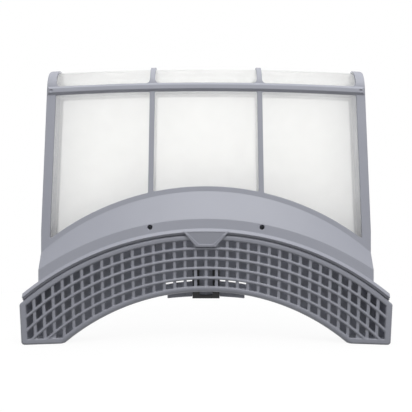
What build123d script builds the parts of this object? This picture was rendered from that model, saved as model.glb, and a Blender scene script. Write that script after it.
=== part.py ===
from build123d import *
import os
from math import asin, degrees, sin, sqrt

os.makedirs("parts", exist_ok=True)

# A tumble dryer lint filter that stands on the two feet of its wings, in millimetres.
# X runs across, Y runs from the grille side to the leaf side, Z is up.

# Arch and grille: every arc of the mouth turns about one axis below the feet
arch_r = 200.0
arch_span = 257.2
lower_border = 5.45
grille_rows = 5
row_hole = 6.3
row_bar = 2.7
upper_border = 4.75
grille_columns = 36
column_bar = 2.6
column_set_back = 1.0
column_arc_r = 302.0
ridge_lean = 0.35
ridge_ledge = 0.25
grille_thick = 2.5
grille_fall = 13.0
grille_width = 331.0
border_round = 4.5
border_return = 2.5
border_gap = 0.2
rim_chamfer = 1.2
end_corner = 3.0
end_border = 5.6
hole_draft = 2.0
foot_border = 5.5
smallest_hole = 9.0
skirt_thick = 2.7
skirt_gap = 0.4
skirt_depth = 14.0
snap_z = 14.5
nub_height = 6.0
nub_depth = 3.0
nub_stand = 1.6
snap_gap = 0.8

# Collar in front of the mouth
groove = 1.0
lip_gap = 2.5
lip_width = 3.0
lip_crest = 0.6
lip_stand = 2.0
collar_band = 8.5
collar_reach = 10.0
collar_hole_d = 4.4
collar_hole_spacing = 99.2
collar_hole_drop = 0.6
socket_depth = 9.0
socket_wall = 1.2
ledge_width = 4.5
ledge_thick = 2.0

# Finger tab on the collar
tab_width_top = 41.0
tab_width_low = 17.0
tab_height = 13.4
tab_thick = 1.2
tab_rim = 2.2

# Pocket
pocket_depth = 34.0
pocket_width_low = 296.8
pocket_width_top = 285.6
apron_r = 227.0
apron_rise = 24.7
apron_border = 4.5
window_height = 85.7
bar_height = 7.6
bar_step = 0.4
bar_stand = 2.0
bar_slope = 42.0
bar_end = 0.5
bow_r = 2450.0
post_width = 8.0
rib_width = 4.5
rib_spacing_low = 101.0
rib_spacing_top = 96.4
skin = 2.4
wall = 2.0
crown_corner = 5.0
crown_clear = 0.3
window_corner = 1.2
strip_corner = 4.0
rear_strip_bar = 5.5
dimple_d = 2.6
dimple_depth = 0.7

# Mesh sheets, moulded into the frames and flush with their inner faces
mesh_thick = 0.5
mesh_lap = 2.5

# Rear leaf and its hinge
leaf_thick = 2.4
seat_gap = 0.2
barrel_r = 2.5
stub_r = 1.5
stub_clearance = 0.06
barrel_gap = 0.4
barrel_end_gap = 0.4
shoulder_drop = 6.2
shoulder_gap = 0.6
rear_lip_rise = 0.5
leaf_foot_gap = 1.0

# Opening tab on the leaf and the latch clip
grip_width = 73.0
grip_drop = 6.3
grip_ribs = 3
grip_rib_width = 2.0
grip_rib_stand = 1.0
grip_rib_height = 3.6
slit_length = 27.0
slit_height = 1.8
slit_rise = 8.0
clip_arm_width = 6.4
clip_arm_gap = 12.4
clip_arm_rise = 24.2
clip_arm_thick = 2.6
clip_pad_thick = 3.0
clip_pad_margin = 0.2
clip_notch_gap = 0.6
stake_d = 3.0
stake_clearance = 0.1
stake_rise = 11.0

# Levels and radii that follow
ring_z = -sqrt(arch_r ** 2 - (arch_span / 2) ** 2)
first_hole_r = arch_r + lower_border
grille_r = first_hole_r + grille_rows * row_hole + (grille_rows - 1) * row_bar + upper_border
half_columns = grille_columns // 2
last_column_x = grille_width / 2 - end_border + column_bar / 2
column_pitch = column_arc_r * asin(last_column_x / column_arc_r) / half_columns
collar_width = grille_width - 2 * (skirt_thick + skirt_gap)
seat_r = grille_r + groove
lip_r = grille_r + lip_gap
flange_r = lip_r + lip_width
crease_r = flange_r + collar_band
apron_z = ring_z + crease_r + apron_rise - apron_r
window_r = apron_r + apron_border
bend_z = apron_z + window_r + window_height + bar_height
bow_z = bend_z - bow_r
bend_r = pocket_depth / 2
crest_z = bend_z + bend_r
lip_z = ring_z + lip_r
high_z = crest_z + bend_r

# Depths that follow, with the whole part centred on Y
overall_depth = lip_stand + collar_reach + pocket_depth
front_y = -overall_depth / 2
collar_y = front_y + lip_stand
face_y = collar_y + collar_reach
bend_y = face_y + bend_r
rear_y = face_y + pocket_depth
leaf_y = rear_y - leaf_thick
seat_y = leaf_y - seat_gap
past = 5.0

# Hinge line at the top of the leaf
rear_lip_z = bend_z + rear_lip_rise
hinge_z = rear_lip_z - barrel_gap - barrel_r
hinge_y = rear_y - barrel_r
shoulder_z = hinge_z - shoulder_drop


def disc(r):
    return Pos(0, ring_z) * Circle(r)


def apron_disc(r):
    return Pos(0, apron_z) * Circle(r)


def bow_disc(r):
    return Pos(0, bow_z) * Circle(r)


def band(half, low, high):
    return Pos(0, (low + high) / 2) * Rectangle(2 * half, high - low)


def slab(outline, front, back):
    """Solid with the outline given across X and Z, from one depth to another."""
    return extrude(Plane.XZ.offset(-front) * outline, amount=front - back)


def polygon(*points):
    return make_face(Polyline(*points, close=True))


def turned(profile):
    """Ring about the arch axis, from a profile of radius and depth."""
    return revolve(Pos(0, 0, ring_z) * profile, Axis((0, 0, ring_z), (0, 1, 0)))


def x_rod(r, half, y, z):
    return Pos(0, y, z) * Rot(0, 90, 0) * Cylinder(r, 2 * half)


def line_x(low, top, z):
    """Place across X, at height z, of a line that leans with the pocket's taper."""
    return low + (top - low) * (z - lip_z) / (bend_z - lip_z)


def pocket_half(z):
    return line_x(pocket_width_low / 2, pocket_width_top / 2, z)


def rib_x(z):
    return line_x(rib_spacing_low / 2, rib_spacing_top / 2, z)


def grille_y(r):
    """Depth of the grille's front face, which falls back toward the arch."""
    return collar_y + grille_fall * (grille_r - r) / (grille_r - arch_r)


def cone_band(low_r, high_r, front, back):
    """Profile of a layer that follows the grille's face, between two distances behind it."""
    low = grille_y(low_r)
    high = grille_y(high_r)
    return polygon((low_r, low + front), (high_r, high + front), (high_r, high + back), (low_r, low + back))


def pocket_outline(inset, depth_in, corner):
    low = pocket_width_low / 2 - inset
    top = pocket_half(high_z) - inset
    right = [(low, inset), (low, lip_z), (top, high_z)]
    left = [(-x, z) for x, z in reversed(right)]
    crown = bow_disc(bow_r + bend_r - depth_in + crown_clear)
    outline = polygon(*right, *left) & crown
    return fillet(outline.vertices().group_by(Axis.Y)[-1], corner)


def pocket_body(inset, depth_in, corner):
    """The pocket's form with its rounded end, inset at the sides and over its face and back."""
    outline = pocket_outline(inset, depth_in, corner)
    flat = slab(outline & bow_disc(bow_r), face_y + depth_in, rear_y - depth_in)
    bend_circle = Plane.YZ * Pos(bend_y, bend_z) * Circle(bend_r - depth_in)
    half_turn = degrees(pocket_width_low / 2 / bow_r)
    bow_axis = Axis((0, 0, bow_z), (0, 1, 0))
    tube = revolve(bend_circle.rotate(bow_axis, -half_turn), bow_axis, 2 * half_turn)
    tube = tube & slab(outline, face_y - past, rear_y + past)
    return flat + tube


def apron_body(inset, depth_in):
    """Sloped apron and collar, ruled between the arc on the pocket's face and the crease."""
    sides = band(pocket_width_low / 2 - inset, 0, high_z)
    inner = disc((arch_r + grille_r) / 2)
    top_face = (apron_disc(apron_r) - inner) & sides
    crease_face = (disc(crease_r) - inner) & sides
    at_face = Plane.XZ.offset(-face_y - depth_in) * top_face
    at_collar = Plane.XZ.offset(-collar_y - depth_in) * crease_face
    return loft([at_face.face(), at_collar.face()], ruled=True)


def mouth_outline(inset):
    ring = disc(flange_r - inset) - disc(arch_r + inset)
    return ring & band(collar_width / 2 - inset, inset, high_z)


def panes():
    """Outlines of the three windows across the pocket, open above and below."""
    edges = []
    for z in (lip_z - pocket_depth, high_z):
        outer = pocket_half(z) - post_width
        rib = rib_x(z)
        edges.append((outer, rib + rib_width / 2, rib - rib_width / 2, z))
    (out_a, rib_a, mid_a, z_a), (out_b, rib_b, mid_b, z_b) = edges
    side = polygon((rib_a, z_a), (out_a, z_a), (out_b, z_b), (rib_b, z_b))
    middle = polygon((-mid_a, z_a), (mid_a, z_a), (mid_b, z_b), (-mid_b, z_b))
    return [mirror(side, Plane.YZ), middle, side]


def windows():
    """The three large windows, between the apron border and the top bar."""
    room = bow_disc(bow_r - bar_height) - apron_disc(window_r)
    cut = Sketch()
    for pane in panes():
        window = pane & room
        cut += fillet(window.vertices(), window_corner)
    return cut


def strip_windows(rise):
    """The three small windows over the rounded end, above a bar."""
    cut = Sketch()
    for pane in panes():
        window = pane - bow_disc(bow_r + rise)
        low_corners = window.vertices().group_by(Axis.Y)[:-1]
        corners = [corner for group in low_corners for corner in group]
        cut += fillet(corners, strip_corner)
    return cut


# Snap points on the wing ends, behind the grille's face
snap_r = sqrt((grille_width / 2) ** 2 + (snap_z - ring_z) ** 2)
snap_y = grille_y(snap_r) + skirt_depth - 2 * nub_depth

# Front mesh: one sheet over the three windows and round the end, in a rebate of the frame
mesh_side = post_width - mesh_lap
mesh_bed = pocket_body(mesh_side, skin - mesh_thick, window_corner)
mesh_bed -= slab(apron_disc(window_r - mesh_lap), face_y - past, bend_y)
mesh_bed -= slab(band(pocket_width_low, -past, rear_lip_z + mesh_lap), bend_y, rear_y + past)
front_mesh = mesh_bed - pocket_body(0, skin, window_corner)

# Grille: a shallow cone, rounded and turned back along the arch
border_back = grille_y(arch_r) + grille_thick + border_return
plate = polygon(
    (arch_r, border_back),
    (arch_r, grille_y(arch_r)),
    (grille_r, grille_y(grille_r)),
    (grille_r, grille_y(grille_r) + grille_thick),
    (arch_r + wall, grille_y(arch_r + wall) + grille_thick),
    (arch_r + wall, border_back),
)
plate = fillet(plate.vertices().group_by(Axis.X)[0].sort_by(Axis.Y)[0], border_round)

# Skirt behind each end of the grille, rounded corners and a chamfered rim
skirt = turned(cone_band(arch_r, grille_r, grille_thick, skirt_depth))
skirt -= slab(band(grille_width / 2 - skirt_thick, 0, high_z), front_y, rear_y)
grille = (turned(plate) + skirt) & slab(band(grille_width / 2, 0, high_z), front_y, rear_y)
deep_edges = grille.edges().filter_by(Axis.Y)
end_edges = [edge for edge in deep_edges if abs(edge.center().X) > (grille_width - skirt_thick) / 2]
grille = fillet(end_edges, end_corner)
grille_face = grille.faces().filter_by(GeomType.CONE).sort_by(Axis.Y)[0]
arch_edge = grille_face.edges().filter_by(GeomType.CIRCLE).sort_by(Axis.Y)[-1]
grille = chamfer([edge for edge in grille_face.edges() if edge != arch_edge], rim_chamfer)

# Slots in the skirts that snap over the nubs on the wing ends
for side in (-1, 1):
    slot = Box(4 * skirt_thick, nub_depth + snap_gap, nub_height + snap_gap)
    grille -= Pos(side * grille_width / 2, snap_y, snap_z) * slot


def column_x(index):
    """Place of a bar: even steps along an arc, seen from the front."""
    return column_arc_r * sin(index * column_pitch / column_arc_r)


def hole_field(inset):
    return band(last_column_x - column_bar / 2 - inset, foot_border + inset, high_z)


def row_channel(low_r):
    """Channel along a row of holes, which sets its upright bars back and leaves sloped ridges beside it."""
    floor_low = low_r - ridge_ledge
    floor_high = low_r + row_hole + ridge_ledge
    open_low = floor_low - 2 * ridge_lean
    open_high = floor_high + 2 * ridge_lean
    section = polygon(
        (floor_low, grille_y(floor_low) + column_set_back),
        (open_low, grille_y(open_low) - column_set_back),
        (open_high, grille_y(open_high) - column_set_back),
        (floor_high, grille_y(floor_high) + column_set_back),
    )
    return turned(section) & slab(hole_field(-ridge_ledge), front_y - past, rear_y)


# Rows of square holes, each row along its own channel
row_radii = [first_hole_r + row * (row_hole + row_bar) for row in range(grille_rows)]
grille -= [row_channel(low_r) for low_r in row_radii]
holes = Sketch()
for low_r in row_radii:
    holes += disc(low_r + row_hole) - disc(low_r)
holes &= hole_field(0)
for index in range(1 - half_columns, half_columns):
    holes -= Pos(column_x(index), 0) * Rectangle(column_bar, 2 * high_z)
hole_fall = grille_y(arch_r) - grille_y(arch_r + row_hole)
hole_depth = grille_thick + 2 * hole_fall
cutters = []
for hole in holes.faces():
    if hole.area > smallest_hole:
        middle = hole.center()
        start = grille_y(sqrt(middle.X ** 2 + (middle.Y - ring_z) ** 2)) - hole_fall
        cutters.append(extrude(Plane.XZ.offset(-start) * hole, amount=-hole_depth, taper=hole_draft))
grille -= cutters

# Front shell, outside: pocket, apron and mouth
outer = pocket_body(0, 0, crown_corner) - slab(disc(arch_r), face_y - past, rear_y + past)
outer += apron_body(0, 0)
outer += slab(mouth_outline(0), collar_y, rear_y)

# Lip along the collar, with a sloped top edge
lip = turned(polygon(
    (flange_r, collar_y),
    (lip_r + lip_crest, front_y),
    (lip_r, front_y),
    (lip_r, collar_y + skin / 2),
))
outer += lip & slab(band(collar_width / 2, 0, high_z), front_y, rear_y)


# Finger tab that hangs from the lip over the first row of holes, with a raised rim
def tab_outline(inset):
    top = tab_width_top / 2 - inset
    low = tab_width_low / 2 - inset
    top_z = lip_z + lip_crest
    low_z = lip_z - tab_height + inset
    return polygon((-low, low_z), (low, low_z), (top, top_z), (-top, top_z))


tab_cone = (grille_r - 2 * tab_height, flange_r)
tab = turned(cone_band(*tab_cone, -lip_stand, 0)) & slab(tab_outline(0), front_y, rear_y)
tab -= turned(cone_band(*tab_cone, -past, -tab_thick)) & slab(tab_outline(tab_rim), front_y - past, rear_y)

# Raised bar across the face, under the rounded end
bar = bow_disc(bow_r) - bow_disc(bow_r - bar_height + bar_step)
bar &= pocket_outline(bar_end, 0, crown_corner)
outer += extrude(Plane.XZ.offset(-face_y) * bar, amount=bar_stand, taper=bar_slope)

# Nubs on the wing ends that hold the grille's skirts
for side in (-1, 1):
    outer += Pos(side * collar_width / 2, snap_y, snap_z) * Box(2 * nub_stand, nub_depth, nub_height)

# Room for the leaf behind the seat, with the side walls left as ears round the hinge stubs
barrel_half = pocket_half(rear_lip_z) - wall - barrel_end_gap
barrel_room = band(barrel_half + barrel_end_gap, shoulder_z, rear_lip_z)
outer -= slab(band(collar_width, -past, shoulder_z + shoulder_gap), seat_y, rear_y + past)
outer -= slab(barrel_room, hinge_y - barrel_r - barrel_gap, rear_y + past)
outer -= x_rod(stub_r + stub_clearance, collar_width, hinge_y, hinge_z)

# Front shell, inside: hollow, with a ledge left behind the grille's upper border
inner = pocket_body(wall, skin, crown_corner - wall)
inner -= slab(disc(arch_r + wall), face_y - past, rear_y + past)
inner += apron_body(wall, skin)
inner += slab(mouth_outline(wall), collar_y + skin, rear_y)
inner -= turned(cone_band(grille_r - ledge_width, flange_r, -past, grille_thick + ledge_thick))
shell = outer - inner - mesh_bed
border_room_r = arch_r + wall + border_gap
shell -= turned(polygon(
    (0, front_y - past),
    (seat_r, front_y - past),
    (seat_r, grille_y(seat_r) + grille_thick),
    (border_room_r, grille_y(border_room_r) + grille_thick),
    (border_room_r, border_back),
    (0, border_back),
))
shell += tab

# Two blind sockets in the collar
collar_hole_r = crease_r - collar_hole_d / 2 - collar_hole_drop
collar_hole_z = ring_z + sqrt(collar_hole_r ** 2 - (collar_hole_spacing / 2) ** 2)
socket_bottom = collar_y + socket_depth
for side in (-1, 1):
    place = Pos(side * collar_hole_spacing / 2, collar_hole_z)
    boss = place * Circle(collar_hole_d / 2 + socket_wall)
    shell += slab(boss, collar_y + skin / 2, socket_bottom + socket_wall)
    shell -= slab(place * Circle(collar_hole_d / 2), front_y, socket_bottom)

# Windows in the face and over the rounded end
shell -= slab(windows(), face_y - past, bend_y)
shell -= slab(strip_windows(0), face_y - past, bend_y)
shell -= slab(strip_windows(rear_lip_rise + rear_strip_bar), bend_y, rear_y + past)

# Dimples at the ends of the bar
dimple_x = pocket_half(bend_z) - post_width / 2
dimple_z = bow_z + sqrt((bow_r - bar_height / 2) ** 2 - dimple_x ** 2)
for side in (-1, 1):
    dimple = Pos(side * dimple_x, dimple_z) * Circle(dimple_d / 2)
    shell -= slab(dimple, front_y, face_y - bar_stand + dimple_depth)

# Notch at the rear of the arch for the arms of the latch clip
grip_z = ring_z + arch_r - grip_drop
clip_half = clip_arm_gap / 2 + clip_arm_width
clip_y = leaf_y - clip_arm_thick
notch = band(clip_half + clip_notch_gap, grip_z, ring_z + arch_r + 2 * wall)
shell -= slab(notch, clip_y - clip_notch_gap, rear_y + past)

# Rear leaf: flat frame and rear wall of the mouth, hung on a barrel with two stubs
leaf_outline = pocket_outline(0, 0, crown_corner) & band(collar_width, 0, shoulder_z)
leaf_outline -= disc(arch_r)
leaf_outline += mouth_outline(0) & band(collar_width, leaf_foot_gap, high_z)
leaf_outline += band(barrel_half, shoulder_z - past, hinge_z)
leaf_outline += band(grip_width / 2, grip_z, ring_z + arch_r + wall)
leaf_outline -= windows()
leaf = slab(leaf_outline, leaf_y, rear_y)
leaf += x_rod(barrel_r, barrel_half, hinge_y, hinge_z)
leaf += x_rod(stub_r, pocket_half(hinge_z), hinge_y, hinge_z)

# Narrow slits through the leaf along the arch, one on each side of the clip
slit_r = arch_r + slit_rise
slit_start = clip_half + clip_notch_gap
slits = disc(slit_r + slit_height / 2) - disc(slit_r - slit_height / 2)
slits &= band(slit_start + slit_length, 0, high_z)
slits -= band(slit_start, 0, high_z)
leaf -= slab(slits, leaf_y - past, rear_y + past)

# Grip ribs on the opening tab, clear of the clip's arms
arm_x = clip_half - clip_arm_width / 2
for index in range(-grip_ribs, grip_ribs + 1):
    x = index * column_pitch
    under_arm = abs(abs(x) - arm_x) < clip_arm_width / 2 + grip_rib_width
    if not under_arm:
        rib = Pos(x, grip_z + grip_rib_height / 2) * Rectangle(grip_rib_width, grip_rib_height)
        leaf += slab(rib, leaf_y - grip_rib_stand, leaf_y)

# Two stakes that hold the latch clip
for side in (-1, 1):
    stake = Pos(side * arm_x, grip_z + stake_rise) * Circle(stake_d / 2)
    leaf += slab(stake, clip_y, leaf_y)

# Rear mesh: one flat sheet in a rebate of the leaf's frame
rear_mesh_outline = bow_disc(bow_r - bar_height + mesh_lap) - apron_disc(window_r - mesh_lap)
rear_mesh_outline &= pocket_outline(mesh_side, 0, window_corner)
rear_mesh = slab(rear_mesh_outline, leaf_y, leaf_y + mesh_thick)
leaf -= rear_mesh

# Latch clip: a pad under the opening tab and two arms up the inside of the leaf
clip = slab(band(clip_half + clip_pad_margin, grip_z - clip_pad_thick, grip_z), clip_y, rear_y)
for side in (-1, 1):
    arm = Pos(side * arm_x, grip_z + clip_arm_rise / 2) * Rectangle(clip_arm_width, clip_arm_rise)
    arm -= Pos(side * arm_x, grip_z + stake_rise) * Circle(stake_d / 2 + stake_clearance)
    clip += slab(arm, clip_y, leaf_y)

export_step(shell, "parts/front_shell.step")
export_step(front_mesh, "parts/front_mesh.step")
export_step(grille, "parts/inlet_grille.step")
export_step(leaf, "parts/rear_leaf.step")
export_step(rear_mesh, "parts/rear_mesh.step")
export_step(clip, "parts/latch_clip.step")
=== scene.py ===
import math

import bmesh
import bpy
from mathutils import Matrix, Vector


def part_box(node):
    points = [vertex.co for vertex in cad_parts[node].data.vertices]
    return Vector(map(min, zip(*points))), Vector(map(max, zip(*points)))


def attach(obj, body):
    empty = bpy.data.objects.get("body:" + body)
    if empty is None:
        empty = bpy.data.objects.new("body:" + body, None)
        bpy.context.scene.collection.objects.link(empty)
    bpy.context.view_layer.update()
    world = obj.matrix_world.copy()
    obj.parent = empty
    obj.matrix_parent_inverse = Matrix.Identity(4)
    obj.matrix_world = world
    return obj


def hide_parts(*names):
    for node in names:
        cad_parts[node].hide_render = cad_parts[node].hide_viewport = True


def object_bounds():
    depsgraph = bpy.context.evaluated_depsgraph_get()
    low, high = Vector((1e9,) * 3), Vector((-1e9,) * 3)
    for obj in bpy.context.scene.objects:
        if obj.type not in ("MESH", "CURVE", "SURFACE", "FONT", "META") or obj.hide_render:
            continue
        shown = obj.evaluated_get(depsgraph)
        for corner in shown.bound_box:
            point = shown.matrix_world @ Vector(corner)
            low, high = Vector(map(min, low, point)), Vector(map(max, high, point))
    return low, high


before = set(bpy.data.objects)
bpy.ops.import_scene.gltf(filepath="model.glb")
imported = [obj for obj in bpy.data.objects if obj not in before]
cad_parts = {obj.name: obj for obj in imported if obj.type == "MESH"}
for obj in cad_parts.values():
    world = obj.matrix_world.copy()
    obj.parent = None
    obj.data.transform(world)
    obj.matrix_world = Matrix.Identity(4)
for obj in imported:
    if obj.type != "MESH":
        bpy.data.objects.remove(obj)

cad_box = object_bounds()


# Front shell: the main moulding, with the window frame, side walls, rounded end, apron and collar.
# It is injection-moulded ABS in mid grey, from a spark-eroded tool that leaves one fine matt grain
# on every face, and it carries all the other pieces.
def linear(hex_colour):
    """Linear colour from an sRGB hex value."""
    channels = []
    for start in (1, 3, 5):
        level = int(hex_colour[start:start + 2], 16) / 255
        channels.append(level / 12.92 if level <= 0.04045 else ((level + 0.055) / 1.055) ** 2.4)
    return (*channels, 1.0)


def add_node(tree, kind, values=None, links=None, **settings):
    """Adds a node with its settings, its input values and the links into it."""
    node = tree.nodes.new(kind)
    for name, setting in settings.items():
        setattr(node, name, setting)
    for socket, value in (values or {}).items():
        node.inputs[socket].default_value = value
    for socket, source in (links or {}).items():
        tree.links.new(source, node.inputs[socket])
    return node


def moulded_plastic(name, pale_hex, deep_hex, smoothest, roughest, edge):
    """Moulded plastic: the melt's flow shifts the tone a little, and the tool's grain breaks up the sheen.

    The real grain is about a tenth of a millimetre, too fine to show, so it is drawn coarser here.
    The edge is the radius to which the mould's corners look rounded.
    """
    flow_length = 0.045
    grain_width = 0.0006
    grain_depth = 0.00003
    grain_strength = 0.3
    material = bpy.data.materials.new(name)
    material.use_nodes = True
    tree = material.node_tree
    shader = tree.nodes["Principled BSDF"]
    shader.inputs["IOR"].default_value = 1.5
    place = add_node(tree, "ShaderNodeTexCoord").outputs["Object"]
    flow = add_node(tree, "ShaderNodeTexNoise", {"Scale": 1 / flow_length, "Detail": 3.0}, {"Vector": place})
    grain = add_node(tree, "ShaderNodeTexNoise", {"Scale": 1 / grain_width, "Detail": 2.0}, {"Vector": place})
    # On colours, the Mix node's inputs 6 and 7 are the two colours, and its output 2 is the result
    tone = add_node(
        tree, "ShaderNodeMix", {6: linear(pale_hex), 7: linear(deep_hex)}, {0: flow.outputs["Fac"]},
        data_type="RGBA")
    sheen = add_node(
        tree, "ShaderNodeMapRange", {"To Min": smoothest, "To Max": roughest},
        {"Value": grain.outputs["Fac"]})
    rounded = add_node(tree, "ShaderNodeBevel", {"Radius": edge}, samples=8)
    surface = add_node(
        tree, "ShaderNodeBump", {"Strength": grain_strength, "Distance": grain_depth},
        {"Height": grain.outputs["Fac"], "Normal": rounded.outputs["Normal"]})
    tree.links.new(tone.outputs[2], shader.inputs["Base Color"])
    tree.links.new(sheen.outputs["Result"], shader.inputs["Roughness"])
    tree.links.new(surface.outputs["Normal"], shader.inputs["Normal"])
    return material


def finish_in(node, material):
    """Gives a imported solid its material."""
    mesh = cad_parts[node].data
    mesh.materials.clear()
    mesh.materials.append(material)


grey_abs = moulded_plastic(
    "grey moulded ABS", "#9FA1AB", "#989AA4", smoothest=0.40, roughest=0.54, edge=0.0010)
finish_in("front_shell", grey_abs)


# Front mesh: one sheet of fine polyester cloth, stretched over the three windows and round the end.
# The shell is moulded round its edges, so it lies flush in a rebate of the frame. Its round, milky
# threads let light through and leave two fifths of the cloth open, so the rear frame shows faintly.
thread_pitch = 0.0004
thread_width = 0.00015
thread_glow = 0.86
crown_strength = 0.5
patch_width = 0.012
cloth_gauge = 0.00025
rebate_depth = 0.0005

pocket_low_half = 0.1429
pocket_top_half = 0.1373
taper_start = 0.1018
apron_axis = -0.0890
apron_cut_r = 0.2290
bow_r = 2.450
bend_outer = 0.0151
rear_lap = 0.0030
front_low, front_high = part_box("front_mesh")
bend_line = front_high.z - bend_outer
bow_axis = bend_line - bow_r


def half_width(z):
    """Half the width of a mesh sheet, which narrows with the pocket."""
    share = max(0.0, (z - taper_start) / (bend_line - taper_start))
    return pocket_low_half + (pocket_top_half - pocket_low_half) * share


def arc_height(axis, r, x):
    """Height of a round edge at x."""
    return axis + math.sqrt(r * r - x * x)


def woven_polyester(name, turn):
    """White monofilament cloth at a turn: round milky threads with open pores between them."""
    material = bpy.data.materials.new(name)
    material.use_nodes = True
    tree = material.node_tree
    shader = tree.nodes["Principled BSDF"]
    shader.inputs["IOR"].default_value = 1.55
    shader.inputs["Roughness"].default_value = 0.55
    weave = add_node(tree, "ShaderNodeUVMap", uv_map="cloth")
    count = (1 / thread_pitch, 1 / thread_pitch, 1.0)
    threads = add_node(
        tree, "ShaderNodeMapping", {"Rotation": (0.0, 0.0, turn), "Scale": count}, {0: weave.outputs["UV"]})
    inside = add_node(tree, "ShaderNodeVectorMath", {}, {0: threads.outputs[0]}, operation="FRACTION")
    centred = add_node(
        tree, "ShaderNodeVectorMath", {1: (0.5, 0.5, 0.5)}, {0: inside.outputs[0]}, operation="SUBTRACT")
    away = add_node(tree, "ShaderNodeVectorMath", {}, {0: centred.outputs[0]}, operation="ABSOLUTE")
    split = add_node(tree, "ShaderNodeSeparateXYZ", {}, {0: away.outputs[0]})
    nearest = add_node(
        tree, "ShaderNodeMath", {}, {0: split.outputs["X"], 1: split.outputs["Y"]}, operation="MINIMUM")
    thread = add_node(
        tree, "ShaderNodeMath", {1: thread_width / 2 / thread_pitch}, {0: nearest.outputs[0]},
        operation="LESS_THAN")
    patch = add_node(
        tree, "ShaderNodeTexNoise", {"Scale": 1 / patch_width, "Detail": 2.0},
        {"Vector": weave.outputs["UV"]})
    white = add_node(
        tree, "ShaderNodeMix", {6: linear("#F7F7F6"), 7: linear("#F1F1F0")}, {0: patch.outputs["Fac"]},
        data_type="RGBA")
    crown = add_node(
        tree, "ShaderNodeBump", {"Strength": crown_strength, "Distance": thread_width / 2},
        {"Height": nearest.outputs[0]}, invert=True)
    tree.links.new(white.outputs[2], shader.inputs["Base Color"])
    tree.links.new(thread.outputs[0], shader.inputs["Alpha"])
    tree.links.new(crown.outputs["Normal"], shader.inputs["Normal"])
    passed = add_node(tree, "ShaderNodeBsdfTranslucent", {}, {"Color": white.outputs[2]})
    glow = add_node(
        tree, "ShaderNodeMath", {1: thread_glow}, {0: thread.outputs[0]}, operation="MULTIPLY")
    milky = add_node(
        tree, "ShaderNodeMixShader", {},
        {0: glow.outputs[0], 1: shader.outputs[0], 2: passed.outputs[0]})
    tree.links.new(milky.outputs[0], tree.nodes["Material Output"].inputs["Surface"])
    return material


def stretched_cloth(name, material, y, top_edge, wrap):
    """Sheet of cloth from the apron's arc up to a top edge, with more rows that a wrap lays round the end."""
    columns = 96
    flat_rows = 60
    wrap_rows = 24 if wrap else 0
    settling_steps = 3
    rows = flat_rows + wrap_rows
    form = bmesh.new()
    bmesh.ops.create_grid(form, x_segments=columns, y_segments=rows, size=1.0)
    cloth_uv = form.loops.layers.uv.new("cloth")
    along = {}
    for vertex in form.verts:
        across = vertex.co.x
        row = (vertex.co.y + 1) / 2 * rows
        share = min(1.0, row / flat_rows)
        x = across * pocket_top_half
        # The width follows the height and the height follows x, so a few steps settle both
        for step in range(settling_steps):
            z = arc_height(apron_axis, apron_cut_r, x) * (1 - share) + top_edge(x) * share
            x = across * half_width(z)
        vertex.co = (x, y, z)
        along[vertex] = z
        if row > flat_rows:
            turn = (row - flat_rows) / wrap_rows
            vertex.co, along[vertex] = wrap(across, turn)
    for face in form.faces:
        for loop in face.loops:
            loop[cloth_uv].uv = (loop.vert.co.x, along[loop.vert])
    bmesh.ops.recalc_face_normals(form, faces=form.faces)
    area = sum(face.calc_area() for face in form.faces)
    mesh = bpy.data.meshes.new(name)
    form.to_mesh(mesh)
    form.free()
    mesh.materials.append(material)
    piece = bpy.data.objects.new(name, mesh)
    bpy.context.collection.objects.link(piece)
    gauge = piece.modifiers.new("cloth gauge", "SOLIDIFY")
    gauge.thickness = cloth_gauge
    gauge.offset = 0.0
    return piece, area


bend_r = bend_outer - rebate_depth / 2
bend_depth = front_low.y + bend_outer
rear_end = bend_line + rear_lap


def bend_edge(x):
    """Height at which the flat of the pocket turns into its rounded end."""
    return arc_height(bow_axis, bow_r, x)


def round_the_end(across, turn):
    """Place on the rounded end, and how far along the cloth it lies."""
    x = across * pocket_top_half
    last = math.pi - math.asin((rear_end - bend_edge(x)) / bend_r)
    angle = turn * last
    z = arc_height(bow_axis, bow_r + bend_r * math.sin(angle), x)
    return (x, bend_depth - bend_r * math.cos(angle), z), bend_edge(x) + bend_r * angle


straight_cloth = woven_polyester("white woven polyester", 0.0)
front_cloth, front_area = stretched_cloth(
    "front_cloth", straight_cloth, front_low.y + rebate_depth / 2, bend_edge, round_the_end)
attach(front_cloth, "filter_shell")
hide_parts("front_mesh")


# Inlet grille: a separate curved moulding that snaps over the ends of the wings.
# It is the same grey ABS as the shell, a shade deeper, with drafted square holes and well rounded ribs.
grille_abs = moulded_plastic(
    "grey moulded ABS, grille", "#9D9FA9", "#9597A1", smoothest=0.34, roughest=0.46, edge=0.0020)
finish_in("inlet_grille", grille_abs)


# Rear leaf: the flat back of the pocket, hinged at the rounded end on two moulded stubs.
# It comes from the same grey ABS and the same grained tool as the front shell. Its opening tab ends
# in a curved lip on each side of the clip, for the fingers that pull the leaf open.
finish_in("rear_leaf", grey_abs)
rear_low, rear_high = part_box("rear_mesh")
clip_low, clip_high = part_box("latch_clip")
clip_pad_thick = 0.0030
tab_edge = clip_low.z + clip_pad_thick
tab_half = 0.0365
clip_gap = 0.0002
lip_start = clip_high.x + clip_gap
lip_middle_drop = 0.0014
lip_arc_r = 0.333
lip_round = 0.0006
lip_columns = 24
corner_turn = math.radians(60)

lip_form = bmesh.new()
bmesh.ops.create_grid(lip_form, x_segments=lip_columns, y_segments=1, size=1.0)
for vertex in lip_form.verts:
    x = lip_start + (tab_half - lip_start) * (vertex.co.x + 1) / 2
    low_edge = arc_height(tab_edge - lip_middle_drop - lip_arc_r, lip_arc_r, x)
    vertex.co = (x, rear_low.y, tab_edge if vertex.co.y > 0 else low_edge)
grown = bmesh.ops.extrude_face_region(lip_form, geom=lip_form.faces[:])["geom"]
rear_corners = [corner for corner in grown if isinstance(corner, bmesh.types.BMVert)]
bmesh.ops.translate(lip_form, verts=rear_corners, vec=(0.0, clip_high.y - rear_low.y, 0.0))
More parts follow.
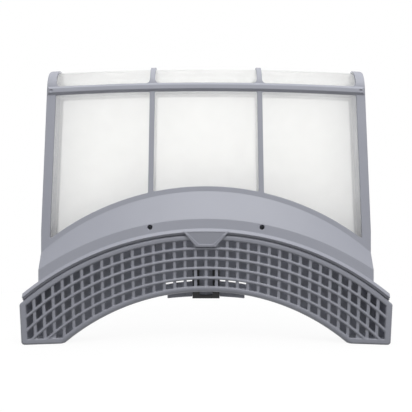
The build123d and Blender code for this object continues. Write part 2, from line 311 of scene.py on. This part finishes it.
# Only the free edges below are rounded, because the upper face lies flush against the tab
free_edges = [
    edge for edge in lip_form.edges
    if len(edge.link_faces) == 2 and edge.calc_face_angle() > corner_turn
    and max(corner.co.z for corner in edge.verts) < tab_edge - lip_round
]
bmesh.ops.bevel(
    lip_form, geom=free_edges, offset=lip_round, offset_type="OFFSET", segments=3, profile=0.5,
    affect="EDGES", material=-1)
one_side = lip_form.verts[:] + lip_form.edges[:] + lip_form.faces[:]
bmesh.ops.mirror(lip_form, geom=one_side, axis="X", merge_dist=0.0)
bmesh.ops.recalc_face_normals(lip_form, faces=lip_form.faces)
lip_mesh = bpy.data.meshes.new("grip_lip")
lip_form.to_mesh(lip_mesh)
lip_form.free()
lip_mesh.materials.append(grey_abs)
grip_lip = bpy.data.objects.new("grip_lip", lip_mesh)
bpy.context.collection.objects.link(grip_lip)
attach(grip_lip, "filter_leaf")


# Rear mesh: a flat sheet of the same polyester cloth, moulded flush into the leaf's inner face.
# It is cut on the bias, with its threads at 45 degrees, and moves with the leaf.
rear_top_r = bow_r + rear_high.z - bend_line


def rear_top(x):
    """Height of the rear sheet's upper edge."""
    return arc_height(bow_axis, rear_top_r, x)


bias_cloth = woven_polyester("white woven polyester, on the bias", math.radians(45))
rear_cloth, rear_area = stretched_cloth(
    "rear_cloth", bias_cloth, (rear_low.y + rear_high.y) / 2, rear_top, None)
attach(rear_cloth, "filter_leaf")
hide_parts("rear_mesh")


# Latch clip: a small black acetal spring, staked to the inside of the leaf at the middle of the arch.
# Acetal is moulded smooth, so it is a little glossier than the grey plastic round it.
black_acetal = moulded_plastic(
    "black acetal", "#1B1B1D", "#151517", smoothest=0.32, roughest=0.44, edge=0.0003)
finish_in("latch_clip", black_acetal)


# Floor and light: a sheet of white paper under soft lights from above, from high in front and from behind.
# The floor is white to the camera but keeps a little of its own shade near the part, for the shadow.
# What it throws back on to the part is grey, so that the undersides stay darker than the faces.
def white_to_the_eye(tree, lit, white):
    """Shows the white shader to the camera, reflections and glass, and the lit one to all other rays."""
    ray = add_node(tree, "ShaderNodeLightPath")
    seen = add_node(
        tree, "ShaderNodeMath", {},
        {0: ray.outputs["Is Camera Ray"], 1: ray.outputs["Is Glossy Ray"]}, operation="MAXIMUM")
    seen = add_node(
        tree, "ShaderNodeMath", {}, {0: seen.outputs[0], 1: ray.outputs["Is Transmission Ray"]},
        operation="MAXIMUM")
    return add_node(
        tree, "ShaderNodeMixShader", {}, {0: seen.outputs[0], 1: lit, 2: white}).outputs[0]


floor_size = 3.0
shadow_reach = 0.45
shadow_share = 0.12
floor_form = bmesh.new()
bmesh.ops.create_grid(floor_form, x_segments=1, y_segments=1, size=floor_size / 2)
floor_mesh = bpy.data.meshes.new("floor")
floor_form.to_mesh(floor_mesh)
floor_form.free()
floor = bpy.data.objects.new("floor", floor_mesh)
bpy.context.collection.objects.link(floor)
paper = bpy.data.materials.new("white paper")
paper.use_nodes = True
tree = paper.node_tree
tree.nodes.remove(tree.nodes["Principled BSDF"])
place = add_node(tree, "ShaderNodeTexCoord").outputs["Object"]
reach = 1 / shadow_reach
near = add_node(tree, "ShaderNodeMapping", {"Scale": (reach, reach, reach)}, {0: place})
fade = add_node(tree, "ShaderNodeTexGradient", {}, {0: near.outputs[0]}, gradient_type="SPHERICAL")
shaded = add_node(
    tree, "ShaderNodeMath", {1: shadow_share}, {0: fade.outputs["Fac"]}, operation="MULTIPLY")
paper_shade = add_node(tree, "ShaderNodeBsdfDiffuse", {"Color": linear("#FFFFFF")})
paper_white = add_node(tree, "ShaderNodeEmission", {"Color": linear("#FFFFFF"), "Strength": 1.0})
paper_seen = add_node(
    tree, "ShaderNodeMixShader", {},
    {0: shaded.outputs[0], 1: paper_white.outputs[0], 2: paper_shade.outputs[0]})
paper_lit = add_node(tree, "ShaderNodeBsdfDiffuse", {"Color": linear("#8C8C8C")})
seen_floor = white_to_the_eye(tree, paper_lit.outputs[0], paper_seen.outputs[0])
tree.links.new(seen_floor, tree.nodes["Material Output"].inputs["Surface"])
floor_mesh.materials.append(paper)

room_strength = 0.45
room = bpy.data.worlds.new("soft room")
room.use_nodes = True
bpy.context.scene.world = room
tree = room.node_tree
room_light = tree.nodes["Background"]
room_light.inputs["Color"].default_value = linear("#FFFFFF")
room_light.inputs["Strength"].default_value = room_strength
room_white = add_node(tree, "ShaderNodeBackground", {"Color": linear("#FFFFFF"), "Strength": 1.0})
seen_room = white_to_the_eye(tree, room_light.outputs[0], room_white.outputs[0])
tree.links.new(seen_room, tree.nodes["World Output"].inputs["Surface"])


def soft_box(name, place, aim, width, height, power):
    """Broad area light that points from its place at an aim."""
    light = bpy.data.lights.new(name, "AREA")
    light.shape = "RECTANGLE"
    light.size = width
    light.size_y = height
    light.energy = power
    lamp = bpy.data.objects.new(name, light)
    bpy.context.collection.objects.link(lamp)
    lamp.location = place
    lamp.rotation_euler = (aim - lamp.location).to_track_quat("-Z", "Y").to_euler()


middle = (cad_box[0] + cad_box[1]) / 2
soft_box("overhead", place=(0.0, -0.19, 1.2), aim=middle, width=1.2, height=0.8, power=4.2)
soft_box("high front", place=(0.12, -0.80, 0.92), aim=middle, width=0.9, height=0.45, power=8.05)
soft_box("back", place=(0.0, 1.0, 0.35), aim=middle, width=1.0, height=0.8, power=5.5)


# Camera: level and face on, 600 mm from the pocket's face, at the height of the middle of the picture.
# The lens makes the part as large in the picture as it is in the photograph.
pocket_face = -0.011
camera_distance = 0.600
camera_height = 0.1247
camera_data = bpy.data.cameras.new("camera")
camera_data.sensor_width = 36.0
camera_data.lens = 58.25
camera = bpy.data.objects.new("camera", camera_data)
bpy.context.collection.objects.link(camera)
camera.location = (0.0, pocket_face - camera_distance, camera_height)
camera.rotation_euler = (math.radians(90), 0.0, 0.0)
bpy.context.scene.camera = camera
bpy.context.scene.view_settings.view_transform = "Standard"
